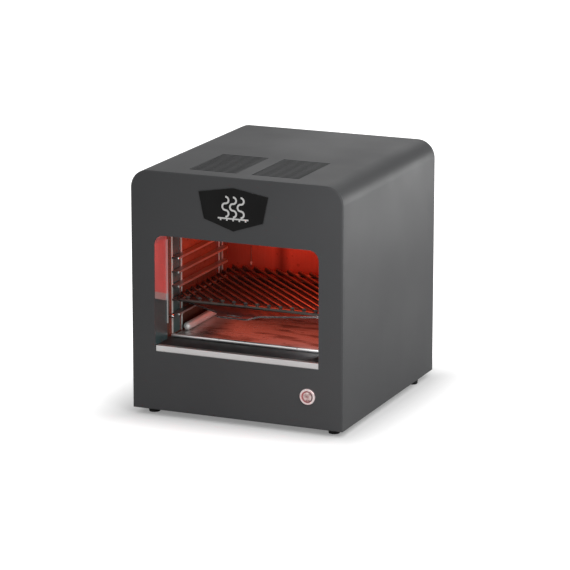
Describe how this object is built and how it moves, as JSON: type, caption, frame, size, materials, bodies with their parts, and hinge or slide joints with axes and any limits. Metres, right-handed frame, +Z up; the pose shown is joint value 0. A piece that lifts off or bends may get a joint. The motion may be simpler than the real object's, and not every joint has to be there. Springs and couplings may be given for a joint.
{
  "type": "electric grill",
  "caption": "Tabletop electric grill: folded steel casing with an open front, top heater, ladder racks, slide-out grate, drip pan and tray, and a lit push button.",
  "frame": {"origin": "on the floor under the centre of the casing's footprint", "axes": "+X to the grill's right seen from the front, +Y to its back, +Z up"},
  "size_m": [0.306, 0.344, 0.339],
  "materials": {
    "casing_paint": "fine satin anthracite powder coat",
    "rear_paint": "satin dark grey powder coat",
    "galvanised": "zinc-coated sheet, faint spangle",
    "polished_steel": "bright stainless, fine drawn grain",
    "cavity_steel": "stainless sheet, heat-tinted",
    "sill_paint": "satin black heat-proof enamel",
    "rubber": "matt black rubber",
    "zinc_screws": "zinc-plated, dull",
    "black_screws": "black oxide",
    "badge_black": "satin black enamel",
    "badge_silver": "matt silver print",
    "mineral_board": "pressed mineral fibre",
    "element": "oxidised alloy sheath, dull red when hot",
    "ceramic": "unglazed steatite",
    "grate_steel": "dark seasoned steel wire, lighter crowns",
    "pan_steel": "polished stainless, heat-tinted",
    "button_chrome": "polished chrome",
    "button_light": "translucent red, lit from behind",
    "switch_plastic": "black glass-filled plastic",
    "spring_steel": "music wire",
    "contact_brass": "bare brass",
    "relay_blue": "moulded blue plastic",
    "lead_black": "silicone insulation",
    "lead_earth": "green and yellow insulation",
    "lead_glass": "glass-braid insulation"
  },
  "bodies": {
    "casing": {"outer_wrap": "casing_paint", "front_panel": "casing_paint", "rear_panel": "rear_paint", "base_plate": "galvanised", "rubber_feet": "rubber", "foot_screws": "zinc_screws", "foot_nuts": "zinc_screws", "rear_screws": "black_screws", "badge_plate": "badge_black", "badge_emblem": "badge_silver", "opening_liner": "polished_steel", "sill_trim": "polished_steel", "sill_plate": "sill_paint", "cavity_floor": "cavity_steel", "cavity_left_wall": "cavity_steel", "cavity_right_wall": "cavity_steel", "cavity_back_wall": "cavity_steel", "cavity_roof": "cavity_steel", "insulation_left": "mineral_board", "insulation_right": "mineral_board", "insulation_top": "mineral_board", "insulation_back": "mineral_board", "rear_bulkhead": "galvanised", "lead_grommet": "rubber", "cavity_supports": "galvanised", "left_rack_uprights": "polished_steel", "left_rack_ledges": "polished_steel", "right_rack_uprights": "polished_steel", "right_rack_ledges": "polished_steel", "rack_studs": "polished_steel", "heater_element": "element", "heater_pins": "zinc_screws", "heater_bushes": "ceramic", "heater_hangers": "cavity_steel", "button_bezel": "button_chrome", "light_ring": "button_light", "button_spring": "spring_steel", "switch_body": "switch_plastic", "switch_nut": "zinc_screws", "switch_blades": "contact_brass", "inlet_housing": "switch_plastic", "inlet_pins": "contact_brass", "inlet_screws": "black_screws", "terminal_block": "ceramic", "block_screws": "contact_brass", "power_relay": "relay_blue", "thermal_cutout": "switch_plastic", "device_screws": "zinc_screws", "earth_stud": "zinc_screws", "mains_leads": "lead_black", "earth_lead": "lead_earth", "heater_leads": "lead_glass", "switch_leads": "lead_black"},
    "grate": {"grate_frame": "grate_steel", "grate_rods": "grate_steel"},
    "pan": {"drip_pan": "pan_steel", "pan_grip": "pan_steel"},
    "tray": {"bottom_tray": "pan_steel", "tray_tubes": "pan_steel"},
    "button": {"button_cap": "button_chrome"}
  },
  "joints": [
    {"name": "grate_slide", "type": "slide", "parent": "casing", "child": "grate", "axis": [0, -1, 0], "range_m": [0, 0.18]},
    {"name": "pan_slide", "type": "slide", "parent": "casing", "child": "pan", "axis": [0, -1, 0], "range_m": [0, 0.18]},
    {"name": "tray_slide", "type": "slide", "parent": "casing", "child": "tray", "axis": [0, -1, 0], "range_m": [0, 0.18]},
    {"name": "button_press", "type": "slide", "parent": "casing", "child": "button", "axis": [0, 1, 0], "range_m": [0, 0.0025], "stiffness_N_per_m": 800, "deforming": ["button_spring"]}
  ]
}
